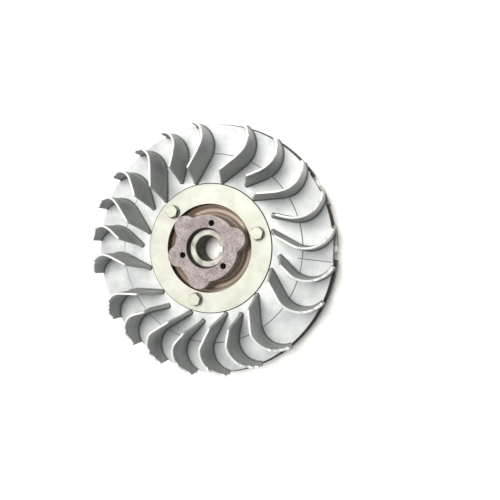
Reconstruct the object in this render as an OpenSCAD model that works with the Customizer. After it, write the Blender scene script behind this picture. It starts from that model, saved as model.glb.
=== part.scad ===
// Flywheel of a small air-cooled engine: a cast iron rotor with the ignition
// magnet in its rim, and a cast aluminium cooling fan clamped to its face.
// Millimetres. Z is the spin axis, z = 0 is the face the rim stands on, and
// the fan side is up. Angles are counter-clockwise from +X, seen from the fan.

/* [Rotor] */
// Outside diameter of the rim
rim_d = 220; // [185:1:265]
// Height of the rim
rim_h = 15; // [12.5:0.5:20]
// Radial thickness of the rim
rim_t = 15; // [12:0.5:19]
// Thickness of the web between hub and rim
web_t = 6.5; // [5:0.5:9]
// Depth of the web's upper face below the rim's
web_drop = 2; // [1:0.5:3]
// Rise of the hub's outer face above the clamp plate
hub_rise = 7.6; // [4:0.2:12]
// Height of the hub's inner end face
hub_back_z = 1.5; // [0:0.5:4]
// Wall between the puller holes and the hub's side
hub_wall = 3.9; // [2.5:0.1:6]
// Height of the lobes on the hub's side
lobe_height = 7.5; // [5:0.5:10]
// Radius of the lobes' rounded ends
lobe_r = 10; // [8:0.5:11]

/* [Shaft fit] */
// Diameter of the bore
bore_d = 22.2; // [18:0.1:27]
// Width of the keyway
key_w = 5; // [4:0.5:6]
// Depth of the keyway below the bore's wall
key_depth = 2.3; // [1.5:0.1:3]
// Width of the seat for the shaft nut's washer, in a recess round the bore
nut_seat_w = 6.4; // [5:0.1:8]
// Depth of that recess
recess_depth = 6; // [4:0.2:8]
// Wall between the recess and the puller holes
puller_wall = 1.9; // [1.5:0.1:4]
// Tapping diameter of the puller holes
puller_d = 5.2; // [4:0.1:7]
// Depth of the puller holes
puller_depth = 16; // [10:1:18]

/* [Fan] */
// Distance of the disc's edge inside the rim's
fan_inset = 2; // [1:0.5:6]
// Thickness of the fan's disc
disc_t = 2.6; // [2.2:0.1:3]
// Height of the fan's flange above the rim
flange_rise = 4; // [3.2:0.2:8]
// Thickness of the fan's flange
flange_t = 3; // [2.5:0.1:4]
// Depth of the flange's seat for the clamp plate, below the disc's face
seat_depth = 1.2; // [0.8:0.1:1.8]
// Drop of the disc's upper face from the seat to its edge
disc_drop = 1.2; // [0.8:0.1:2]
// Blades in one group
blades = 7; // [5:1:7]
// Angle from one blade to the next in a group
blade_pitch = 16; // [14:0.5:18]
// Thickness of a blade
blade_t = 2.2; // [1.6:0.1:2.8]
// Height of the blades above the disc
blade_h = 31.2; // [25:0.2:40]
// Fall of a blade's top edge down to its shoulder
shoulder_drop = 9.4; // [7:0.2:12]
// Fall from there to the blade's tip
tip_drop = 7.4; // [5:0.2:10]
// Distance of the long blades' feet from the clamp plate
foot_gap = 2; // [1:0.2:5]
// How much farther out the short blades' feet are
foot_step = 5; // [2:0.5:7]
// Distance from a blade's bend to the disc's edge
hook_span = 29.2; // [24:0.2:33]
// Radius of the hook in a blade's outer part
hook_r = 19; // [16:0.5:23]

/* [Clamp plate] */
// Gap between the hub's lobes and the plate's opening
lobe_gap = 2.8; // [1.5:0.1:5]
// Width of the plate's ring
plate_w = 17.2; // [14.2:0.2:21]
// Thickness of the plate
plate_t = 2; // [1.2:0.1:3]
// Distance of the bolts from the edge of the plate's opening
bolt_inset = 7.2; // [6:0.2:9]
// Diameter of the bolts
bolt_d = 6; // [5:0.5:7]
// Length of the bolts' shanks
bolt_len = 14; // [12:1:16]

/* [Ignition magnet] */
// Wall of the rim behind the pocket
pocket_wall = 4; // [3:0.5:6]
// Angle that the magnet fills between its pole shoes
magnet_span = 9.9; // [8:0.1:12]
// Angle that one pole shoe fills
shoe_span = 8.9; // [8:0.1:10.6]
// Angle that one end spacer fills
spacer_span = 2.6; // [2:0.1:3.2]
// Angle left open at each end of the pocket
end_span = 3.8; // [2:0.1:5]
// Diameter of the screws that hold the pole shoes
screw_d = 5; // [4:0.5:6]

/* [Hidden] */
$fn = 96;
eps = 0.01;

// Directions of the bolts, puller holes, lobes, keyway and magnet
BOLT_A = 15.5;
PULLER_A = 76;
LOBE_A = 16;
FOURTH_LOBE_A = 195;
KEY_A = -5;
MAGNET_A = 14.8;
// Direction of the first blade's bend, and the lean of its hook's centre there
BLADE_A = -30;
BEND_LEAN = 59;

// Clearances: the bolts in plate and fan, the plate in the fan's seat, the
// threads in the rotor, and how far the fan's opening and the rotor's seat
// ring stay back from the plate's edges
bolt_play = 0.3;
plate_play = 0.3;
thread_fit = 0.02;
fan_back = 0.7;
seat_back = 1.2;
seat_margin = 2;

// Radii from the bore outward
bore_r = bore_d / 2;
recess_r = bore_r + nut_seat_w;
puller_pcr = recess_r + puller_wall + puller_d / 2;
hub_r = puller_pcr + puller_d / 2 + hub_wall;
lobe_reach = hub_r + lobe_height;
plate_bore_r = lobe_reach + lobe_gap;
plate_r = plate_bore_r + plate_w;
bolt_pcr = plate_bore_r + bolt_inset;
long_foot_r = plate_r + foot_gap;
short_foot_r = long_foot_r + foot_step;
fan_in_r = plate_bore_r + fan_back;
seat_in_r = plate_bore_r + seat_back;
seat_out_r = plate_r - seat_margin;

// Radii from the rim inward
rim_r = rim_d / 2;
rim_in_r = rim_r - rim_t;
pocket_r = rim_in_r + pocket_wall;
fan_r = rim_r - fan_inset;
bend_r = fan_r - hook_span;

// Heights in the stack from the web to the hub's face and the blades
floor_z = rim_h - web_drop;
web_z = floor_z - web_t;
flange_z = rim_h + flange_rise;
flange_top_z = flange_z + flange_t;
plate_top_z = flange_top_z + plate_t;
hub_z = plate_top_z + hub_rise;
disc_z = flange_top_z + seat_depth;
disc_edge_z = disc_z - disc_drop;
blade_top_z = disc_z + blade_h;
blade_shoulder_z = blade_top_z - shoulder_drop;
blade_tip_z = blade_shoulder_z - tip_drop;

// Fasteners, all from the bolt's diameter
bolt_af = 5 / 3 * bolt_d;
head_h = 2 / 3 * bolt_d;
lock_od = 1.97 * bolt_d;
lock_t = 0.27 * bolt_d;
head_z = plate_top_z + lock_t;

// Small step in the disc's face, and the corners of the blades' top edges
disc_step_r = fan_r - 26;
disc_step = 0.4;
disc_step_z = disc_z - 0.25 * disc_drop;
blade_rake = 7.6;
crest_r = max(bend_r + 3, short_foot_r + blade_rake + 1);
shoulder_r = fan_r - 7;

// The magnet group, working outward from the middle of its pocket
shoe_r = rim_r - 0.4;
magnet_r = rim_r - 1.6;
spacer_r = rim_r - 1;
pocket_span = magnet_span + 2 * (shoe_span + spacer_span + end_span);
shoe_z = rim_h / 2;
screw_face_r = shoe_r - 0.3;
screw_in_r = rim_in_r + 1;
fan_relief_r = rim_r - 2.7;
shoe_a = (magnet_span + shoe_span) / 2;
spacer_a = magnet_span / 2 + shoe_span + spacer_span / 2;

// A piece of a ring: inner and outer radius, bottom and top, middle and span
module arc_block(r0, r1, z0, z1, mid, span) {
    rotate(mid - span / 2)
        rotate_extrude(angle = span)
            translate([r0, z0]) square([r1 - r0, z1 - z0]);
}

// A hole or rod on the axis of its parent, from z0 to z1
module rod(d, z0, z1) {
    translate([0, 0, z0]) cylinder(d = d, h = z1 - z0);
}

// Three copies of the children at a radius, the first in direction a
module thirds(r, a) {
    for (k = [0:2])
        rotate(a + 120 * k) translate([r, 0, 0]) children();
}

// One station of a set of three
module third(r, a, k) {
    rotate(a + 120 * (k - 1)) translate([r, 0, 0]) children();
}

// ---- rotor: hub, web, seat ring and rim, one iron casting ----

// Half section of the casting, turned about the axis
module rotor_section() {
    polygon([
        [0, hub_back_z],
        [hub_r - 5, hub_back_z],
        [hub_r - 3.5, hub_back_z + 1.5],
        [hub_r - 2.5, web_z],
        [rim_in_r - 4, web_z],
        [rim_in_r, 1],
        [rim_in_r + 1, 0],
        [rim_r - 1, 0],
        [rim_r, 1],
        [rim_r, rim_h - 0.6],
        [rim_r - 0.6, rim_h],
        [rim_in_r, rim_h],
        [rim_in_r - web_drop, floor_z],
        [seat_out_r + 2, floor_z],
        [seat_out_r, floor_z + 2],
        [seat_out_r, flange_z],
        [seat_in_r, flange_z],
        [seat_in_r, floor_z + 2],
        [seat_in_r - 2, floor_z],
        [hub_r + 1.5, floor_z],
        [hub_r - 1, floor_z + 2.5],
        [0, floor_z + 2.5]
    ]);
}

// Outline of the hub with its three lobes and a fourth, smaller one
module hub_outline() {
    circle(r = hub_r);
    for (k = [0:2])
        rotate(LOBE_A + 120 * k) translate([lobe_reach - lobe_r, 0]) circle(r = lobe_r);
    rotate(FOURTH_LOBE_A) translate([lobe_reach - lobe_r + 1, 0]) circle(r = lobe_r - 1);
}

// The bore with its keyway, the recess over it, and both edges broken
module shaft_cut() {
    recess_z = hub_z - recess_depth;
    rod(bore_d, hub_back_z - 1, recess_z + 1);
    rod(2 * recess_r, recess_z, hub_z + 1);
    translate([0, 0, recess_z - 1.2]) cylinder(r1 = bore_r, r2 = bore_r + 1.2 + eps, h = 1.2 + eps);
    translate([0, 0, hub_back_z - eps]) cylinder(r1 = bore_r + 0.8 + eps, r2 = bore_r, h = 0.8 + eps);
    rotate(KEY_A) translate([0, -key_w / 2, hub_back_z - 1])
        cube([bore_r + key_depth, key_w, recess_z - hub_back_z + 1 + eps]);
}

module rotor() {
    color("dimgray")
        difference() {
            union() {
                rotate_extrude() rotor_section();
                translate([0, 0, floor_z - 1]) linear_extrude(height = hub_z - floor_z + 1) hub_outline();
            }
            shaft_cut();
            thirds(puller_pcr, PULLER_A)
                rod(puller_d, hub_z - puller_depth, hub_z + 1);
            thirds(bolt_pcr, BOLT_A)
                rod(bolt_d + 2 * thread_fit, head_z - bolt_len - 1, flange_z + 1);
            arc_block(pocket_r, rim_r + 1, -1, rim_h + 1, MAGNET_A, pocket_span);
            for (s = [-1, 1])
                at_shoe(s) rod(screw_d + 2 * thread_fit, rim_in_r - 1, pocket_r + 1);
        }
}

// ---- fan: flange, dished disc and three groups of blades, one casting ----

// Half section of the fan without its blades
module fan_section() {
    polygon([
        [fan_in_r, flange_z],
        [plate_r, flange_z],
        [fan_r - 3, disc_edge_z - disc_t],
        [fan_r, disc_edge_z - disc_t],
        [fan_r, disc_edge_z],
        [disc_step_r + 0.8, disc_step_z - disc_step],
        [disc_step_r, disc_step_z],
        [plate_r + 0.9, disc_z],
        [plate_r + plate_play, disc_z - 0.3],
        [plate_r + plate_play, flange_top_z],
        [fan_in_r, flange_top_z]
    ]);
}

// Side view of a blade whose foot starts at foot_r: it rises steeply to a
// corner, runs level over the bend, then falls to the tip
module blade_section(foot_r) {
    corner_r = foot_r + blade_rake;
    polygon([
        [foot_r - 1, disc_edge_z - 0.6],
        [foot_r, disc_edge_z + 2.4],
        [corner_r, blade_top_z],
        [crest_r, blade_top_z],
        [shoulder_r, blade_shoulder_z],
        [fan_r - 1, blade_tip_z],
        [fan_r - 0.6, disc_edge_z - 0.6]
    ]);
}

// Plan of one blade: straight from the foot to the bend, then a hook that
// turns with the spin
module blade_plan() {
    translate([bend_r, 0]) rotate(BEND_LEAN) {
        translate([-blade_t, 0]) square([blade_t, bend_r * sin(BEND_LEAN)]);
        intersection() {
            translate([hook_r, 0]) ring(hook_r, blade_t);
            translate([-5, -hook_r - 5]) square([1.35 * hook_r + 5, hook_r + 5]);
        }
    }
}

// A flat ring that grows outward from radius r by t
module ring(r, t) {
    difference() {
        circle(r = r + t);
        circle(r = r);
    }
}

// Every second blade of all groups, from the one numbered first
module blade_set(first, foot_r) {
    intersection() {
        rotate_extrude() blade_section(foot_r);
        for (g = [0:2])
            for (k = [first:2:blades - 1])
                rotate(BLADE_A + 120 * g + blade_pitch * k)
                    linear_extrude(height = blade_top_z + 1) blade_plan();
    }
}

module fan() {
    color("gainsboro")
        difference() {
            union() {
                rotate_extrude() fan_section();
                blade_set(0, long_foot_r);
                blade_set(1, short_foot_r);
            }
            thirds(bolt_pcr, BOLT_A)
                rod(bolt_d + 2 * bolt_play, flange_z - 1, flange_top_z + 1);
            arc_block(fan_relief_r, fan_r + 1, 0, blade_top_z, MAGNET_A, pocket_span);
        }
}

// ---- clamp plate and its three bolts ----

module clamp_plate() {
    color("ivory")
        difference() {
            rod(2 * plate_r, flange_top_z, plate_top_z);
            rod(2 * plate_bore_r, flange_top_z - 1, plate_top_z + 1);
            thirds(bolt_pcr, BOLT_A)
                rod(bolt_d + 2 * bolt_play, flange_top_z - 1, plate_top_z + 1);
        }
}

// Spring lock washer: a ring cut through on one side
module lock_washer(k) {
    color("silver")
        third(bolt_pcr, BOLT_A, k)
            difference() {
                rod(lock_od, plate_top_z, head_z);
                rod(bolt_d + bolt_play, plate_top_z - 1, head_z + 1);
                rotate(200) translate([0, -0.4, plate_top_z - 1]) cube([lock_od, 0.8, lock_t + 2]);
            }
}

// Hexagon bolt, its head's corners turned down to a cone
module bolt(k) {
    across = bolt_af / cos(30);
    color("ivory")
        third(bolt_pcr, BOLT_A, k) {
            rod(bolt_d, head_z - bolt_len, head_z + 1);
            intersection() {
                translate([0, 0, head_z]) cylinder(d = across, h = head_h, $fn = 6);
                translate([0, 0, head_z]) cylinder(r1 = across / 2 + 5, r2 = bolt_af / 2 - 0.2, h = head_h);
            }
        }
}

// ---- ignition magnet, its pole shoes, end spacers and screws ----

module magnet() {
    color("darkslategray")
        arc_block(pocket_r, magnet_r, 0.5, rim_h - 0.5, MAGNET_A, magnet_span);
}

module pole_shoe(s) {
    color("slategray")
        difference() {
            arc_block(pocket_r, shoe_r, 0, rim_h, MAGNET_A + s * shoe_a, shoe_span);
            at_shoe(s) screw(thread_fit);
        }
}

module spacer(s) {
    color("silver")
        arc_block(pocket_r, spacer_r, 0, rim_h - 0.3, MAGNET_A + s * spacer_a, spacer_span);
}

// The middle of one pole shoe, with Z turned outward along the radius
module at_shoe(s) {
    rotate(MAGNET_A + s * shoe_a) translate([0, 0, shoe_z]) rotate([0, 90, 0]) children();
}

// Countersunk screw along Z, or with play around it the hole that it needs
module screw(play) {
    head_h = 0.4 * screw_d;
    rod(screw_d + 2 * play, screw_in_r - play, screw_face_r);
    translate([0, 0, screw_face_r - head_h])
        cylinder(r1 = screw_d / 2 + play, r2 = 0.9 * screw_d + play, h = head_h);
    if (play > 0) translate([0, 0, screw_face_r]) cylinder(r = 0.9 * screw_d + play, h = 2);
}

module shoe_screw(s) {
    color("gray")
        at_shoe(s)
            difference() {
                screw(0);
                translate([-screw_d, -0.6, screw_face_r - 1]) cube([2 * screw_d, 1.2, 2]);
            }
}

rotor();
fan();
clamp_plate();
bolt(1);  // bolt_1
bolt(2);  // bolt_2
bolt(3);  // bolt_3
lock_washer(1);  // lock_washer_1
lock_washer(2);  // lock_washer_2
lock_washer(3);  // lock_washer_3
magnet();
pole_shoe(-1);  // pole_shoe_1
pole_shoe(1);  // pole_shoe_2
spacer(-1);  // spacer_1
spacer(1);  // spacer_2
shoe_screw(-1);  // shoe_screw_1
shoe_screw(1);  // shoe_screw_2
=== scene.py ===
import math
import random

import bmesh
import bpy
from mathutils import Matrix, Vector, noise


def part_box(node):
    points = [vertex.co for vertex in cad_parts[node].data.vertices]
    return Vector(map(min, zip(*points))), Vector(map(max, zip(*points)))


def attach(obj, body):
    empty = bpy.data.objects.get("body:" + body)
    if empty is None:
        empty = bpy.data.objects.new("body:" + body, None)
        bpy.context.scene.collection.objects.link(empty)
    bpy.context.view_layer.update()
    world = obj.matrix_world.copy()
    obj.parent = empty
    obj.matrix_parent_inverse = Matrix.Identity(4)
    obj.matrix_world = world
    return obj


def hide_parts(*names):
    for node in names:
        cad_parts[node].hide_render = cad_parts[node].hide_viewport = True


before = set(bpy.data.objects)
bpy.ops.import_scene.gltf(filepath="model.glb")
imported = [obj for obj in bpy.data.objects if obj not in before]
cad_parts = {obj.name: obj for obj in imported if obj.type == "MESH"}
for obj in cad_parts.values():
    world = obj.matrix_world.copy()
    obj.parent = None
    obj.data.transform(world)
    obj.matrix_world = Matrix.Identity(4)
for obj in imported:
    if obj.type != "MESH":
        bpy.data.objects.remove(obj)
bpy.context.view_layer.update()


# ---- The rotor -----------------------------------------------------------
# Grey cast iron from a sand mould: a hub with four lobes, a thin web, a seat
# ring that carries the fan, and a heavy rim. The recess, the bore and the
# rim's outside are turned, and the rest is left as cast and has rusted.

MM = 0.001
TAU = 2 * math.pi
QUARTER = math.radians(90)


def mesh_object(name, points, faces, smooth=True):
    """A mesh from points in millimetres."""
    mesh = bpy.data.meshes.new(name)
    mesh.from_pydata([(x * MM, y * MM, z * MM) for x, y, z in points], [], faces)
    work = bmesh.new()
    work.from_mesh(mesh)
    bmesh.ops.recalc_face_normals(work, faces=work.faces)
    work.to_mesh(mesh)
    work.free()
    for polygon in mesh.polygons:
        polygon.use_smooth = smooth
    obj = bpy.data.objects.new(name, mesh)
    bpy.context.scene.collection.objects.link(obj)
    return obj


def joined(name, parts):
    """One object from several lists of points and faces."""
    points, faces = [], []
    for p, f in parts:
        faces += [tuple(i + len(points) for i in face) for face in f]
        points += p
    return mesh_object(name, points, faces)


def rounded(corners, steps=5):
    """An outline with its corners rounded. A corner is (x, y, radius)."""
    out = []
    for i, (x, y, radius) in enumerate(corners):
        before, here, after = (Vector(corners[j][:2]) for j in (i - 1, i, (i + 1) % len(corners)))
        a, b = (before - here).normalized(), (after - here).normalized()
        angle = a.angle(b)
        if radius <= 0 or angle > math.radians(178):
            out.append((x, y))
            continue
        reach = radius / math.tan(angle / 2)
        reach = min(reach, 0.48 * (before - here).length, 0.48 * (after - here).length)
        radius = reach * math.tan(angle / 2)
        centre = here + (a + b).normalized() * (radius / math.sin(angle / 2))
        first, last = here + a * reach - centre, here + b * reach - centre
        turn = first.angle_signed(last)
        for k in range(steps + 1):
            c, s = math.cos(-turn * k / steps), math.sin(-turn * k / steps)
            out.append((centre.x + first.x * c - first.y * s, centre.y + first.x * s + first.y * c))
    return out


def ring_faces(rings, n, closed=True):
    """Faces that join a run of rings of n points each. An open run gets a cap at each end."""
    faces = []
    for j in range(rings if closed else rings - 1):
        k = (j + 1) % rings
        faces += [(j * n + i, k * n + i, k * n + (i + 1) % n, j * n + (i + 1) % n) for i in range(n)]
    if not closed:
        faces += [tuple(range(n)), tuple(range((rings - 1) * n, rings * n))]
    return faces


def turned(outline, angles, closed=True, out_of_round=None):
    """Points and faces of an (r, z) outline carried round the axis."""
    points = []
    for a in angles:
        for r, z in outline:
            if out_of_round:
                r, z = out_of_round(r, z, a)
            points.append((r * math.cos(a), r * math.sin(a), z))
    return points, ring_faces(len(angles), len(outline), closed)


def full_turn(steps):
    """Angles in radians all the way round."""
    return [TAU * k / steps for k in range(steps)]


def arc(middle, span, steps):
    """Angles in radians across a span in degrees."""
    return [math.radians(middle + span * (k / steps - 0.5)) for k in range(steps + 1)]


rotor_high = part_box("rotor")[1]
plate_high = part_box("clamp_plate")[1]
RIM_R = round(rotor_high.y / MM)
HUB_Z = rotor_high.z / MM
PLATE_Z = plate_high.z / MM
PLATE_R = round(plate_high.x / MM)
PLATE_T = 2.0
RIM_H, RIM_T = 15.0, 15
RIM_IN_R = RIM_R - RIM_T
POCKET_DEPTH = 11
POCKET_R = RIM_R - POCKET_DEPTH
WEB_Z, WEB_TOP_Z, SEAT_Z = 6.5, 13.0, 19.0
SEAT_IN_R, SEAT_OUT_R = 40.0, PLATE_R - 2.0
# A lobe is its middle's angle in degrees and the radius of its round end
HUB_R, LOBE_REACH, LOBE_BLEND, HUB_EDGE = 28.5, 36.0, 3.0, 0.8
LOBES = ((16, 10), (136, 10), (256, 10), (195, 9))
NECK_R, HUB_BACK_Z = 25.8, 1.5
BORE_R, RECESS_R, RECESS_Z = 11.1, 17.5, HUB_Z - 6
KEY_A, KEY_W, KEY_R = -5.0, 5.0, 13.4
MAGNET_A, POCKET_SPAN = 14.8, 40.5
PULLER_A, PULLER_R, PULLER_PCR, PULLER_DEPTH = 76.0, 2.7, 22.0, 16


def lobe_r(a):
    """Radius of the hub's outline: a round body and four round lobes, their feet blended."""
    r = HUB_R + 0.2 * noise.noise((3 * math.cos(a), 3 * math.sin(a), 5.1))
    for middle, end_r in LOBES:
        off = a - math.radians(middle)
        centre = LOBE_REACH - end_r
        inside = end_r ** 2 - (centre * math.sin(off)) ** 2
        if inside > 0 and math.cos(off) > 0:
            lobe = centre * math.cos(off) + math.sqrt(inside)
            blend = max(LOBE_BLEND - abs(r - lobe), 0) / LOBE_BLEND
            r = max(r, lobe) + blend ** 2 * LOBE_BLEND / 4
    return r


def smoothed_outline(steps):
    """The hub's outline as radii at even angles."""
    radii = [lobe_r(a) for a in full_turn(steps)]
    for _ in range(4):
        radii = [(radii[k - 1] + 2 * radii[k] + radii[(k + 1) % steps]) / 4 for k in range(steps)]
    return radii


def key_r(a, r):
    """Radius of the bore's wall, let out to the bottom of the keyway."""
    off = (math.degrees(a) - KEY_A + 180) % 360 - 180
    if abs(off) > 40 or abs(math.sin(math.radians(off))) * r > KEY_W / 2:
        return r
    return max(r, KEY_R / math.cos(math.radians(off)))


def hub_rows():
    """Rows round the hub, from behind the web, up the bore and over the top to the web's face.

    A row is (kind, radius, height). A "bore" row follows the keyway, and an "outline" row's
    radius is its distance outside the lobes' outline.
    """
    rows = [("round", NECK_R, WEB_Z + 1), ("round", NECK_R - 0.6, HUB_BACK_Z + 3)]
    rows += [("round", NECK_R - 1.6, HUB_BACK_Z + 0.7), ("round", NECK_R - 2.6, HUB_BACK_Z)]
    rows += [("round", BORE_R + 0.9, HUB_BACK_Z), ("round", BORE_R, HUB_BACK_Z + 0.9)]
    bore_low, bore_high = HUB_BACK_Z + 1, RECESS_Z - 0.9
    rows += [("bore", BORE_R, bore_low + (bore_high - bore_low) * k / 4) for k in range(5)]
    rows += [("bore", BORE_R + 0.1, RECESS_Z - 0.7), ("bore", BORE_R + 0.7, RECESS_Z - 0.1)]
    rows += [("bore", BORE_R + 0.9, RECESS_Z), ("bore", BORE_R + 1.1, RECESS_Z)]
    # The nut's seat, and the lathe tool's groove round it
    rows += [("round", RECESS_R - 1.8, RECESS_Z), ("round", RECESS_R - 1.6, RECESS_Z)]
    rows += [("round", RECESS_R - 1.4, RECESS_Z - 0.3), ("round", RECESS_R - 0.9, RECESS_Z - 0.3)]
    rows += [("round", RECESS_R - 0.25, RECESS_Z + 0.25), ("round", RECESS_R, RECESS_Z + 0.9)]
    rows += [("round", RECESS_R, HUB_Z - 0.5), ("round", RECESS_R + 0.15, HUB_Z - 0.12)]
    rows += [("round", RECESS_R + 0.5, HUB_Z), ("outline", -HUB_EDGE, HUB_Z)]
    rows += [("outline", -HUB_EDGE * (1 - math.sin(t)), HUB_Z - HUB_EDGE * (1 - math.cos(t)))
             for t in (QUARTER * k / 5 for k in range(1, 6))]
    rows += [("outline", 0.35, HUB_Z - 5), ("outline", 0.7, HUB_Z - 10), ("outline", 1.2, WEB_TOP_Z + 3)]
    rows += [("outline", 2.2, WEB_TOP_Z + 1), ("outline", 3.6, WEB_TOP_Z - 0.2)]
    return rows + [("round", 26, WEB_TOP_Z - 2)]


def hub_shell(steps=720):
    """Points and faces of the hub before its puller holes are drilled."""
    points, rows = [], hub_rows()
    for a, outline in zip(full_turn(steps), smoothed_outline(steps)):
        for kind, r, z in rows:
            if kind == "outline":
                r += outline
            elif kind == "bore":
                r = key_r(a, r)
            points.append((r * math.cos(a), r * math.sin(a), z))
    return points, ring_faces(steps, len(rows))


def drilled(obj, cutter):
    """Cuts one mesh from another and leaves a plain mesh."""
    cut = obj.modifiers.new("cut", "BOOLEAN")
    cut.operation, cut.solver, cut.object = "DIFFERENCE", "EXACT", cutter
    held = bpy.context.evaluated_depsgraph_get()
    mesh = bpy.data.meshes.new_from_object(obj.evaluated_get(held))
    obj.modifiers.clear()
    obj.data = mesh
    bpy.data.objects.remove(cutter)


puller_centres = [(PULLER_PCR * math.cos(a), PULLER_PCR * math.sin(a))
                  for a in (math.radians(PULLER_A + 120 * k) for k in range(3))]


def hole_cutter():
    """Three drills, each with a blunt point and a small countersink."""
    profile = [(0.01, HUB_Z - PULLER_DEPTH), (PULLER_R, HUB_Z - PULLER_DEPTH + 2), (PULLER_R, HUB_Z - 0.5),
               (PULLER_R + 0.5, HUB_Z), (PULLER_R + 1.5, HUB_Z + 1), (0.01, HUB_Z + 1)]
    points, faces = turned(profile, full_turn(48))
    return joined("puller_cutter", [([(x + cx, y + cy, z) for x, y, z in points], faces)
                                    for cx, cy in puller_centres])


def cast_wall(r, z, a):
    """A sand casting's slight unevenness."""
    size = 9
    return r + 0.12 * noise.noise((r * math.cos(a) / size, r * math.sin(a) / size, z / size)), z


web_outline = rounded([
    (24, WEB_Z, 0), (RIM_IN_R - 5, WEB_Z, 3), (RIM_IN_R, 1, 1), (RIM_IN_R + 1, 0, 0.3), (POCKET_R, 0, 0),
    (POCKET_R, RIM_H, 0), (RIM_IN_R, RIM_H, 1), (RIM_IN_R - 2, WEB_TOP_Z, 2), (SEAT_OUT_R + 2, WEB_TOP_Z, 2),
    (SEAT_OUT_R, WEB_TOP_Z + 2, 1), (SEAT_OUT_R, SEAT_Z, 0.4), (SEAT_IN_R, SEAT_Z, 0.4),
    (SEAT_IN_R - 0.6, WEB_TOP_Z + 3, 2), (SEAT_IN_R - 4, WEB_TOP_Z, 3), (24, WEB_TOP_Z, 0)])
# The rim starts a millimetre inside the web's outline and a hair off its faces, so that no two
# faces lie on each other
rim_outline = rounded([
    (POCKET_R - 1, 0.05, 0), (RIM_R, 0, 1), (RIM_R, RIM_H, 0.8), (POCKET_R - 1, RIM_H - 0.05, 0)])

hub = mesh_object("rotor_hub", *hub_shell())
drilled(hub, hole_cutter())
wheel = joined("rotor_wheel", [
    turned(web_outline, full_turn(360), out_of_round=cast_wall),
    turned(rim_outline, arc(MAGNET_A + 180, 360 - POCKET_SPAN, 320), closed=False)])


def colour(hex_code):
    """An sRGB hex colour as Blender's linear RGBA."""
    parts = [int(hex_code[i:i + 2], 16) / 255 for i in (1, 3, 5)]
    return tuple(c / 12.92 if c <= 0.04045 else ((c + 0.055) / 1.055) ** 2.4 for c in parts) + (1.0,)


def add(material, kind, settings=None, out=0, **links):
    """Adds a node and gives one of its outputs.

    settings fills its fields and sockets. A link joins a socket, by its name or as _0, _1
    and so on, to another node's output, or gives the socket a hex colour.
    """
    node = material.node_tree.nodes.new("ShaderNode" + kind)
    for key, value in (settings or {}).items():
        if isinstance(key, int) or key in node.inputs:
            node.inputs[key].default_value = value
        elif key == "stops":
            ramp = node.color_ramp.elements
            while len(ramp) < len(value):
                ramp.new(0.5)
            for element, (place, shade) in zip(ramp, value):
                element.position, element.color = place, colour(shade)
        else:
            setattr(node, key, value)
    for key, source in links.items():
        socket = node.inputs[int(key[1:])] if key[0] == "_" else node.inputs[key.replace("_", " ")]
        if isinstance(source, str):
            socket.default_value = colour(source)
        else:
            material.node_tree.links.new(source, socket)
    return node.outputs[out]


def surface(name, **settings):
    """A new material, its shader and the object's own coordinates."""
    material = bpy.data.materials.new(name)
    material.use_nodes = True
    shader = material.node_tree.nodes["Principled BSDF"]
    for key, value in settings.items():
        shader.inputs[key.replace("_", " ")].default_value = value
    return material, shader, add(material, "TexCoord", out="Object")


def wire(shader, socket, source):
    """Joins a node's output to the shader."""
    shader.id_data.links.new(source, shader.inputs[socket])


def every(size_mm):
    """Scale of a pattern whose spots are this many millimetres across."""
    return 1000 / size_mm


def axis_distance(material, place):
    """Distance from the spin axis, in metres."""
    x, y = (add(material, "SeparateXYZ", out=i, Vector=place) for i in (0, 1))
    x, y = (add(material, "Math", {"operation": "POWER", 1: 2.0}, _0=part) for part in (x, y))
    total = add(material, "Math", {"operation": "ADD"}, _0=x, _1=y)
    return add(material, "Math", {"operation": "SQRT"}, _0=total)


def upward(material, low, high):
    """0 on walls, 1 on faces that look up, between two limits of the normal's height."""
    facing = add(material, "SeparateXYZ", out=2, Vector=add(material, "NewGeometry", out="Normal"))
    return add(material, "MapRange", {"From Min": low, "From Max": high}, Value=facing)


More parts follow.
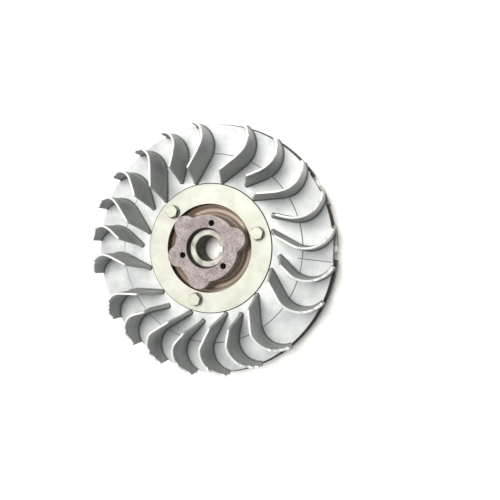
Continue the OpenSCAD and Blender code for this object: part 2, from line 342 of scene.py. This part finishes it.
def rusted_cast_iron():
    """Grey iron as cast: sandy, a mauve grey on the hub, tan rust in the valley round it."""
    material, shader, place = surface("cast_iron_rusted", Metallic=0.15, Roughness=0.8)
    broad = add(material, "TexNoise", {"Scale": every(9), "Detail": 4.0, "Roughness": 0.6}, Vector=place)
    # Sand grain about a millimetre across
    fine = add(material, "TexNoise", {"Scale": every(1.3), "Detail": 3.0, "Roughness": 0.7}, Vector=place)
    grain = add(material, "Math", {"operation": "MULTIPLY_ADD", 1: 0.6}, _0=fine,
                _2=add(material, "Math", {"operation": "MULTIPLY", 1: 0.4}, _0=broad))
    mottle = add(material, "ValToRGB", {"stops": (
        (0.36, "#675d5b"), (0.46, "#867c7b"), (0.53, "#968c8b"), (0.64, "#b3aaa8"))}, Fac=grain)
    # The sheltered valley round the hub is tan, in rings left by the pattern maker's lathe
    height = add(material, "SeparateXYZ", out=2, Vector=place)
    low = add(material, "MapRange", {"From Min": (SEAT_Z + 3) * MM, "From Max": (HUB_Z - 2.5) * MM,
                                     "To Min": 1.0, "To Max": 0.0}, Value=height)
    rings = add(material, "TexNoise", {"noise_dimensions": "1D", "Scale": every(2.2), "Detail": 1.0},
                W=axis_distance(material, place))
    sandy = add(material, "MixRGB", _0=upward(material, 0.2, 0.6), _1=broad, _2=rings)
    rust = add(material, "ValToRGB", {"stops": (
        (0.38, "#75645b"), (0.5, "#a59589"), (0.62, "#cbbfb1"))}, Fac=sandy)
    stained = add(material, "MixRGB", _0=grain, _1=rust, _2="#8d7d70")
    # The edges of the hub's face are paler: partly wear from handling, partly a painted highlight
    bevel = add(material, "Math", {"operation": "PINGPONG", 1: 0.5}, _0=upward(material, 0.1, 0.98))
    top = add(material, "Math", {"operation": "GREATER_THAN", 1: (HUB_Z - 1.2) * MM}, _0=height)
    edge_wear_and_highlight = add(material, "Math", {"operation": "MULTIPLY"}, _0=bevel, _1=top)
    face = add(material, "MixRGB", _0=edge_wear_and_highlight, _1=mottle, _2="#e0d9d6")
    wire(shader, "Base Color", add(material, "MixRGB", _0=low, _1=face, _2=stained))
    wire(shader, "Normal", add(material, "Bump", {"Distance": 0.5 * MM}, Height=grain))
    return material


def turned_iron():
    """Iron turned on a lathe: dull bright, with fine rings round the axis and a little stain."""
    material, shader, place = surface("cast_iron_turned", Metallic=0.35, Roughness=0.55)
    # Tool marks a quarter of a millimetre apart
    rings = add(material, "TexNoise", {"noise_dimensions": "1D", "Scale": every(0.25), "Detail": 2.0},
                W=axis_distance(material, place))
    stain = add(material, "TexNoise", {"Scale": every(8), "Detail": 4.0}, Vector=place)
    wire(shader, "Base Color", add(material, "ValToRGB", {"stops": (
        (0.32, "#74716b"), (0.5, "#9c9992"), (0.7, "#b0ada6"))}, Fac=stain))
    wire(shader, "Normal", add(material, "Bump", {"Distance": 0.05 * MM}, Height=rings))
    return material


def dark_iron_and_painted_shade():
    """Dark iron in patches: painted shade on the bore, the recess's wall and groove, the puller holes, the
    pockets' walls and the seat ring's inner wall, and the rim's outside is dark too.
    """
    material, shader, place = surface("cast_iron_dark_and_painted_shade", Metallic=0.3, Roughness=0.55)
    stain = add(material, "TexNoise", {"Scale": every(5), "Detail": 5.0, "Roughness": 0.65}, Vector=place)
    wire(shader, "Base Color", add(material, "ValToRGB", {"stops": (
        (0.35, "#222120"), (0.55, "#353432"), (0.7, "#514f4b"))}, Fac=stain))
    wire(shader, "Normal", add(material, "Bump", {"Distance": 0.1 * MM}, Height=stain))
    return material


irons = (rusted_cast_iron(), turned_iron(), dark_iron_and_painted_shade())
TURNED, DARK_AND_PAINTED_SHADE = 1, 2
for piece in (hub, wheel):
    for iron in irons:
        piece.data.materials.append(iron)
for polygon in hub.data.polygons:
    centre = polygon.center / MM
    r = math.hypot(centre.x, centre.y)
    in_hole = HUB_Z - PULLER_DEPTH - 1.6 < centre.z < HUB_Z - 0.3 and any(
        math.dist((centre.x, centre.y), middle) < PULLER_R + 0.1 for middle in puller_centres)
    nut_seat = r < RECESS_R - 1.5 and centre.z > RECESS_Z - 0.6
    back_face = r < NECK_R - 2.8 and centre.z < 2 * HUB_BACK_Z
    if nut_seat or back_face:
        polygon.material_index = TURNED
    # The recess's wall and groove, the bore and the puller holes are painted dark as shade
    elif r < RECESS_R + 0.1 or in_hole:
        polygon.material_index = DARK_AND_PAINTED_SHADE
for polygon in wheel.data.polygons:
    centre = polygon.center / MM
    r = math.hypot(centre.x, centre.y)
    # The pockets' walls and the seat ring's inner wall are painted dark as shade, and the rim's outside is
    # dark iron
    if r > RIM_IN_R + 0.3 or abs(r - SEAT_IN_R) < 0.7 and centre.z > WEB_TOP_Z + 2:
        polygon.material_index = DARK_AND_PAINTED_SHADE
for piece in (hub, wheel):
    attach(piece, "root")
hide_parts("rotor")
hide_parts("rotor")


# ---- The fan -------------------------------------------------------------
# One aluminium die casting: a dished disc with 21 hooked blades in three
# groups of seven. Every blade has draft and a fillet at its foot, and its tip
# was left ragged where the casting's runners were broken off.

fan_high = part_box("fan")[1]
FAN_R = round(fan_high.y / MM)
TOP_Z = fan_high.z / MM
FAN_IN_R = SEAT_IN_R - 0.5
DISC_Z, EDGE_Z, EDGE_T = PLATE_Z - 0.8, PLATE_Z - 2.0, 2.6
# The disc's face falls a little from the plate to a small step, and more outside it
STEP_R, STEP, FALL = PLATE_R + 26, 0.4, 0.3
STEP_TOP_Z = DISC_Z - FALL
RELIEF_R = RIM_R - 2.7
SEAM_A, SEAM_IN_R = math.radians(6.2), 78
GROUPS, GROUP_BLADES, FIRST_A, PITCH = 3, 7, -30, 16
LONG_FOOT_R, SHORT_FOOT_R, FOOT_RAKE = 58.0, 63.0, 7.6
BEND_R, LEAN, HOOK_R, HOOK_SWEEP = 78.8, math.radians(59), 19.0, math.radians(108)
CREST_R, SHOULDER_R, SHOULDER_Z, TIP_Z = BEND_R + 3, FAN_R - 7, 45.0, 37.6
BLADE_W_FOOT, BLADE_W_TOP = 2.8, 1.8
FOOT_FILLET, TOP_EASE = 1.2, 0.55
# Least and most of what differs from blade to blade: how far its top stands proud, how far
# the ragged part reaches in from the edge, and a notch's length and rise
LIFT, RAGGED_REACH, NOTCH_RUN, NOTCH_RISE = (-0.15, 0.15), (9.5, 11.5), (1.6, 3.4), (-2.3, 0.7)


def disc_height(r):
    """Height of the disc's face at a radius."""
    if r < STEP_R:
        return DISC_Z - FALL * max(0, (r - PLATE_R) / (STEP_R - PLATE_R))
    return STEP_TOP_Z - STEP - (STEP_TOP_Z - STEP - EDGE_Z) * (r - STEP_R) / (FAN_R - STEP_R)


def disc_edge(r, z, a):
    """The disc's edge, cut back over the magnet, and a slight waviness."""
    off = abs((math.degrees(a) - MAGNET_A + 180) % 360 - 180)
    if r > RELIEF_R - 1 and off < POCKET_SPAN / 2:
        r -= FAN_R - RELIEF_R
    return r, z + 0.06 * noise.noise((r * math.cos(a) / 14, r * math.sin(a) / 14, 2.7))


def blade_plan(foot_r):
    """Stations along a blade's middle line, straight and then hooked: (point, way out, distance)."""
    centre_way = Vector((math.cos(LEAN), math.sin(LEAN)))
    foot_way = Vector((-math.sin(LEAN), math.cos(LEAN)))
    bend = Vector((BEND_R, 0)) - centre_way * (BLADE_W_TOP / 2)
    across = BEND_R * math.sin(LEAN)
    straight = across - math.sqrt(across ** 2 - BEND_R ** 2 + foot_r ** 2)
    stations = []
    steps = round(straight / 0.8)
    for k in range(steps):
        along = straight * (1 - k / steps)
        stations.append((bend + foot_way * along, -centre_way, straight - along))
    radius = HOOK_R + BLADE_W_TOP / 2
    centre = bend + centre_way * radius
    steps = round(radius * HOOK_SWEEP / 0.7)
    for k in range(steps + 1):
        turn = HOOK_SWEEP * k / steps
        c, s = math.cos(turn), math.sin(turn)
        way = Vector((-centre_way.x * c + centre_way.y * s, -centre_way.x * s - centre_way.y * c))
        stations.append((centre + way * radius, way, straight + radius * turn))
    return stations


def top_height(r, foot_r):
    """Height of a blade's top edge at a radius."""
    line = [(foot_r - 1, EDGE_Z), (foot_r, DISC_Z + 1.6), (foot_r + FOOT_RAKE, TOP_Z), (CREST_R, TOP_Z),
            (SHOULDER_R, SHOULDER_Z), (FAN_R - 1, TIP_Z), (FAN_R, TIP_Z - 1)]
    for (r0, z0), (r1, z1) in zip(line, line[1:]):
        if r <= r1:
            return z0 + (z1 - z0) * max(0, (r - r0) / (r1 - r0))
    return line[-1][1]


def blade_side(base, top, pinch):
    """One side of a blade's section, from its fillet up to its round top: (half width, height)."""
    tall = max(top - base, 0.4)
    fillet = min(FOOT_FILLET, 0.5 * tall)
    ease = min(TOP_EASE, 0.3 * tall)

    def half(z):
        share = min(max((z - base) / (TOP_Z - base), 0), 1)
        return (BLADE_W_FOOT + (BLADE_W_TOP - BLADE_W_FOOT) * share) / 2 * pinch

    turns = [QUARTER * k / 4 for k in range(5)]
    side = [(half(base) + fillet, base - 0.5)]
    side += [(half(base) + fillet * (1 - math.sin(t)), base + fillet * (1 - math.cos(t))) for t in turns]
    side += [(half(base + tall * share), base + tall * share) for share in (0.35, 0.65)
             if tall * share > fillet + 0.05]
    # Every section keeps the same number of points, however low the blade is
    while len(side) < 8:
        side.append((side[-1][0], side[-1][1] + 0.01))
    return side + [(half(top) - ease * (1 - math.cos(t)), top - ease + ease * math.sin(t)) for t in turns[:4]]


def blade(foot_r, turn, seed):
    """One blade: points and faces, swept along its plan, with a ragged tip."""
    dice = random.Random(seed)
    ragged_from = FAN_R - dice.uniform(*RAGGED_REACH)
    lift = dice.uniform(*LIFT)
    notch, notch_end = 0.0, 0.0
    cos_turn, sin_turn = math.cos(turn), math.sin(turn)
    stations = blade_plan(foot_r)
    total = stations[-1][2]
    points = []
    for at, out, s in stations:
        r = at.length
        top = top_height(r, foot_r) + (lift if r > foot_r + FOOT_RAKE else 0)
        if r > ragged_from:
            if s >= notch_end:
                notch_end = s + dice.uniform(*NOTCH_RUN)
                notch = dice.uniform(*NOTCH_RISE)
            top += notch
        to_end = total - s
        pinch = 0.45 + 0.55 * math.sqrt(1 - (1 - to_end) ** 2) if to_end < 1 else 1
        side = blade_side(disc_height(min(r, FAN_R)), top, pinch)
        ring = [(-w, z) for w, z in side] + [(0, top)] + [(w, z) for w, z in reversed(side)]
        for w, z in ring:
            x, y = at.x + out.x * w, at.y + out.y * w
            rough = 0.10 * noise.noise((x / 5 + seed, y / 5, z / 5))
            x, y = x + out.x * rough, y + out.y * rough
            points.append((x * cos_turn - y * sin_turn, x * sin_turn + y * cos_turn, z))
    return points, ring_faces(len(stations), len(ring), closed=False)


disc_outline = rounded([
    (FAN_IN_R, SEAT_Z, 0.3), (PLATE_R, SEAT_Z, 2), (FAN_R - 3, EDGE_Z - EDGE_T, 2),
    (FAN_R, EDGE_Z - EDGE_T, 0.5), (FAN_R, EDGE_Z, 0.6),
    (STEP_R + 0.6, STEP_TOP_Z - STEP, 0.3), (STEP_R, STEP_TOP_Z, 0.3),
    (PLATE_R + 0.9, DISC_Z, 0.3), (PLATE_R + 0.3, DISC_Z - 0.4, 0.2), (PLATE_R + 0.3, PLATE_Z - PLATE_T, 0),
    (FAN_IN_R, PLATE_Z - PLATE_T, 0.3)], steps=3)
castings = [turned(disc_outline, full_turn(480), out_of_round=disc_edge)]
for group in range(GROUPS):
    for k in range(GROUP_BLADES):
        foot_r = LONG_FOOT_R if k % 2 == 0 else SHORT_FOOT_R
        turn = math.radians(FIRST_A + 360 / GROUPS * group + PITCH * k)
        castings.append(blade(foot_r, turn, GROUP_BLADES * group + k + 1))
fan = joined("fan_casting", castings)


def die_cast_aluminium():
    """Aluminium from a die: matt and grey, with painted light: paler on faces that look up than on walls,
    painted shade in corners, round the plate and along the step, and a painted highlight on the blades' tops.
    """
    material, shader, place = surface("aluminium_die_cast", Metallic=0.3, Roughness=0.6)
    radius = axis_distance(material, place)
    height = add(material, "SeparateXYZ", out=2, Vector=place)
    cloud = add(material, "TexNoise", {"Scale": every(22), "Detail": 5.0, "Roughness": 0.55}, Vector=place)
    speck = add(material, "TexNoise", {"Scale": every(1.7), "Detail": 3.0}, Vector=place)
    painted_lit_face = add(material, "ValToRGB", {"stops": (
        (0.34, "#a5a8aa"), (0.48, "#b5b8b9"), (0.60, "#c0c3c4"))}, Fac=cloud)
    painted_shaded_wall = add(material, "ValToRGB", {"stops": (
        (0.30, "#858887"), (0.45, "#989b99"), (0.62, "#a5a8a6"))}, Fac=cloud)
    # Painted shade along the small step in the disc
    off_step = add(material, "Math", {"operation": "SUBTRACT", 1: (STEP_R + 0.3) * MM}, _0=radius)
    near = add(material, "MapRange", {"From Min": 0.3 * MM, "From Max": 0.8 * MM,
                                      "To Min": 0.9, "To Max": 0.0},
               Value=add(material, "Math", {"operation": "ABSOLUTE"}, _0=off_step))
    step_painted_shade = add(material, "Math", {"operation": "MULTIPLY"}, _0=near, _1=cloud)
    flat = add(material, "MixRGB", _0=step_painted_shade, _1=painted_lit_face, _2="#6c6f70")
    # Painted shade on the wall round the clamp plate, and under the plate
    plate_edge_painted_shade = add(material, "MapRange", {"From Min": (PLATE_R + 0.6) * MM, "From Max": (PLATE_R + 1.0) * MM,
                                      "To Min": 0.8, "To Max": 0.0}, Value=radius)
    flat = add(material, "MixRGB", _0=plate_edge_painted_shade, _1=flat, _2="#3a3936")
    # A cold seam in the casting, a hair line along one radius in the disc's outer part
    across_seam = (math.sin(SEAM_A), math.cos(SEAM_A), 0)
    aside = add(material, "VectorMath", {"operation": "DOT_PRODUCT", 1: across_seam}, out="Value", _0=place)
    thin = add(material, "MapRange", {"From Min": 0.2 * MM, "From Max": 0.5 * MM,
                                      "To Min": 0.85, "To Max": 0.0},
               Value=add(material, "Math", {"operation": "ABSOLUTE"}, _0=aside))
    outer = add(material, "Math", {"operation": "GREATER_THAN", 1: SEAM_IN_R * MM},
                _0=add(material, "SeparateXYZ", out=0, Vector=place))
    seam = add(material, "Math", {"operation": "MULTIPLY"}, _0=thin, _1=outer)
    flat = add(material, "MixRGB", _0=seam, _1=flat, _2="#4c4e4e")
    # The blades' top edges are painted nearly white, a painted highlight
    edge = add(material, "MapRange", {"From Min": (DISC_Z + 6) * MM, "From Max": (DISC_Z + 9) * MM},
               Value=height)
    flat = add(material, "MixRGB", _0=edge, _1=flat, _2="#d3d6d5")
    # Painted light: faces that look up take the paler colour, walls the darker, shaded one
    shade = add(material, "MixRGB", _0=upward(material, 0.25, 0.75), _1=painted_shaded_wall, _2=flat)
    # Painted shade in the corner where a blade meets the disc, whose face falls toward its edge
    slope = (DISC_Z - EDGE_Z + 0.3) / (FAN_R - PLATE_R)
    fallen = add(material, "Math", {"operation": "MULTIPLY_ADD", 1: slope,
                                    2: -(DISC_Z + 0.3 + slope * PLATE_R) * MM}, _0=radius)
    above = add(material, "Math", {"operation": "ADD"}, _0=fallen, _1=height)
    corner = add(material, "MapRange", {"From Min": 0.5 * MM, "From Max": 1.6 * MM,
                                        "To Min": 0.9, "To Max": 0.0}, Value=above)
    steep = add(material, "Math", {"operation": "SUBTRACT", 0: 1.0}, _1=upward(material, 0.80, 0.985))
    corner_painted_shade = add(material, "Math", {"operation": "MULTIPLY"}, _0=corner, _1=steep)
    wire(shader, "Base Color", add(material, "MixRGB", _0=corner_painted_shade, _1=shade, _2="#474a49"))
    grain = add(material, "Math", {"operation": "ADD"}, _0=cloud, _1=speck)
    wire(shader, "Normal", add(material, "Bump", {"Distance": 0.15 * MM}, Height=grain))
    return material


fan.data.materials.append(die_cast_aluminium())
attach(fan, "root")
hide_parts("fan")


# ---- The clamp plate -----------------------------------------------------
# A flat ring stamped from steel sheet and zinc plated. The plating has dulled
# to a pale cream, and its edges are darker: dirt and painted shade.


def clouded(name, light, dark, side, roughness):
    """A dull metal or ferrite with a film in pale and dark clouds, and a colour of its own, mostly darker, on
    what doesn't look up: dirt and painted shade
    """
    material, shader, place = surface(name, Metallic=0.25, Roughness=roughness)
    cloud = add(material, "TexNoise", {"Scale": every(16), "Detail": 5.0, "Roughness": 0.6}, Vector=place)
    film = add(material, "ValToRGB", {"stops": ((0.3, dark), (0.6, light))}, Fac=cloud)
    wire(shader, "Base Color", add(material, "MixRGB", _0=upward(material, 0.3, 0.8), _1=side, _2=film))
    wire(shader, "Normal", add(material, "Bump", {"Distance": 0.1 * MM}, Height=cloud))
    return material


def finish_node(name, material):
    """Gives a carried-over node its material."""
    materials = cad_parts[name].data.materials
    materials.clear()
    materials.append(material)


# Zinc plate gone dull: a soft cream sheen with no clear reflection
# Its edges are painted darker, partly dirt and partly painted shade
finish_node("clamp_plate", clouded("zinc_plate_dulled", "#b8bab1", "#a7a89d", "#55544c", 0.6))


# ---- Bolts and lock washers ----------------------------------------------
# Three zinc plated hexagon bolts hold the plate, each over a spring washer.
# The heads have dulled like the plate, and the washers are painted darker as the shade round each head.

# The bolts' sides are darker: dirt and painted shade
bolt_zinc = clouded("zinc_bolt", "#b2b2a6", "#98988b", "#5b5a51", 0.5)
# The washers are painted dark, as the shade round each head
washer_zinc_painted_shade = clouded("zinc_spring_washer_painted_shade", "#86857a", "#6c6b61", "#3f3e38", 0.5)
for k in (1, 2, 3):
    finish_node(f"bolt_{k}", bolt_zinc)
    finish_node(f"lock_washer_{k}", washer_zinc_painted_shade)


# ---- The ignition magnet -------------------------------------------------
# A ferrite magnet between two laminated pole shoes, with a cast spacer at
# each end and a countersunk screw through each shoe.


def laminated_steel():
    """A pack of steel sheets half a millimetre thick, with dark varnish between them."""
    material, shader, place = surface("laminated_steel", Metallic=0.5, Roughness=0.45)
    sheets = add(material, "TexNoise", {"noise_dimensions": "1D", "Scale": every(0.5), "Detail": 0.0},
                 W=add(material, "SeparateXYZ", out=2, Vector=place))
    wire(shader, "Base Color", add(material, "ValToRGB", {"stops": (
        (0.35, "#33312c"), (0.45, "#6a675e"), (0.65, "#8a877d"))}, Fac=sheets))
    wire(shader, "Normal", add(material, "Bump", {"Distance": 0.08 * MM}, Height=sheets))
    return material


# Ferrite is a matt near-black ceramic, the spacers are pale cast alloy and the screws oily steel
finish_node("magnet", clouded("ferrite", "#3b3835", "#2a2826", "#2a2826", 0.7))
shoe_steel = laminated_steel()
spacer_alloy = clouded("spacer_cast_alloy", "#d4d6d6", "#b0b3b4", "#c3c5c4", 0.55)
screw_steel = clouded("screw_oiled_steel", "#77736c", "#55524d", "#6a665f", 0.4)
for k in (1, 2):
    finish_node(f"pole_shoe_{k}", shoe_steel)
    finish_node(f"spacer_{k}", spacer_alloy)
    finish_node(f"shoe_screw_{k}", screw_steel)


# ---- Table, light and camera ---------------------------------------------
# The wheel lies on a white table top under broad soft light from above, and
# the camera looks down from the magnet's side, a little off the axis.

TABLE_REACH = 3000
# The top lies a hair below the wheel, so that the two never share a face
table_corners = [(x * TABLE_REACH, y * TABLE_REACH, -0.05) for x, y in ((-1, -1), (1, -1), (1, 1), (-1, 1))]
table = mesh_object("table_top", table_corners, [(0, 1, 2, 3)], smooth=False)
table_white, table_shader, _ = surface("table_white", Roughness=0.9)
table_shader.inputs["Base Color"].default_value = colour("#fbfaf7")
table.data.materials.append(table_white)

key_data = bpy.data.lights.new("key_light", "AREA")
key_data.shape, key_data.size, key_data.energy = "DISK", 1.6, 96
key_data.color = colour("#fffdf8")[:3]
key = bpy.data.objects.new("key_light", key_data)
key.location = (-0.45, 0.55, 2.5)
key.rotation_euler = (Vector((0, 0, 0.02)) - key.location).to_track_quat("-Z", "Y").to_euler()
bpy.context.scene.collection.objects.link(key)

world = bpy.data.worlds.new("room")
world.use_nodes = True
world.node_tree.nodes["Background"].inputs["Color"].default_value = colour("#ffffff")
world.node_tree.nodes["Background"].inputs["Strength"].default_value = 0.50
bpy.context.scene.world = world

camera_data = bpy.data.cameras.new("camera")
camera_data.sensor_width, camera_data.lens = 36.0, 32.82
camera = bpy.data.objects.new("camera", camera_data)
camera.location = (0.1397, -0.0016, 0.3968)
camera.rotation_euler = (0, 0.2677, 0)
bpy.context.scene.collection.objects.link(camera)
bpy.context.scene.camera = camera
bpy.context.scene.view_settings.view_transform = "Standard"
